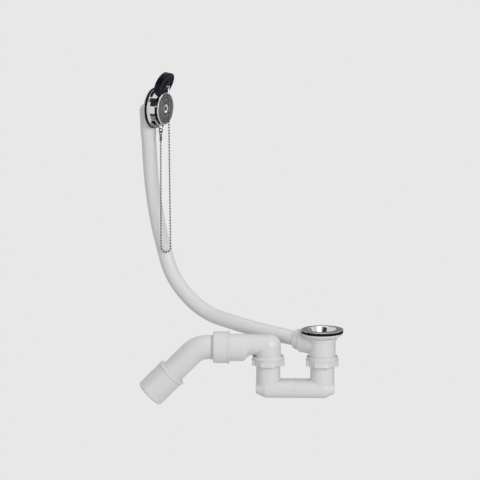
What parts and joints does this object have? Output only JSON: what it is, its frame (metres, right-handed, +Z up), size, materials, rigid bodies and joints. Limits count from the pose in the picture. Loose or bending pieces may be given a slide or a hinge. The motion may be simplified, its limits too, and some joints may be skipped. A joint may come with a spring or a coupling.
{
  "type": "bath waste and overflow",
  "caption": "Bath waste and overflow: chrome strainer waste on a swivelling plastic trap with a push-fit bend, and a pipe up to an overflow rosette with a plug on a ball chain.",
  "frame": {"origin": "on the waste's axis, at the plane where the bath floor is clamped between the two waste seals", "axes": "+Z up along the waste's axis; +X along the overflow rosette's axis, out of its face into the bath"},
  "size_m": [0.3789, 0.1835, 0.5357],
  "materials": {
    "white_plastic": "satin",
    "chrome": "polished",
    "steel": "bright",
    "nickel": "bright",
    "brass": "turned",
    "plug_rubber": "satin",
    "seal_rubber": "matt"
  },
  "bodies": {
    "waste_and_overflow": {"ball_chain": "nickel", "chain_hook": "nickel", "chain_ring": "nickel", "hook_coupling": "nickel", "inlet_union_nut": "white_plastic", "inlet_washer": "seal_rubber", "overflow_elbow": "white_plastic", "overflow_front_disc": "chrome", "overflow_insert": "brass", "overflow_pipe": "white_plastic", "overflow_rosette": "chrome", "overflow_screw": "steel", "overflow_seal": "seal_rubber", "plug": "plug_rubber", "plug_coupling": "nickel", "plug_staple": "nickel", "port_cone_seal": "seal_rubber", "port_nut": "white_plastic", "waste_body": "white_plastic", "waste_flange": "chrome", "waste_insert": "brass", "waste_lower_seal": "seal_rubber", "waste_screw": "steel", "waste_upper_seal": "seal_rubber"},
    "trap": {"trap_bend": "white_plastic"},
    "outlet": {"outlet_elbow": "white_plastic", "outlet_union_nut": "white_plastic", "outlet_washer": "seal_rubber", "socket_lip_seal": "seal_rubber"},
    "bend": {"outlet_bend": "white_plastic"}
  },
  "joints": [
    {"name": "trap_swivel", "type": "hinge", "parent": "waste_and_overflow", "child": "trap", "pos_m": [0, 0, -0.05], "axis": [0, 0, 1], "range_deg": [0, 150]},
    {"name": "outlet_swivel", "type": "hinge", "parent": "trap", "child": "outlet", "pos_m": [-0.08026, -0.03915, -0.05], "axis": [0, 0, 1], "range_deg": [0, 120]},
    {"name": "bend_swivel", "type": "hinge", "parent": "outlet", "child": "bend", "pos_m": [-0.14381, -0.07014, -0.0285], "axis": [-0.8988, -0.4384, 0], "continuous": true}
  ]
}
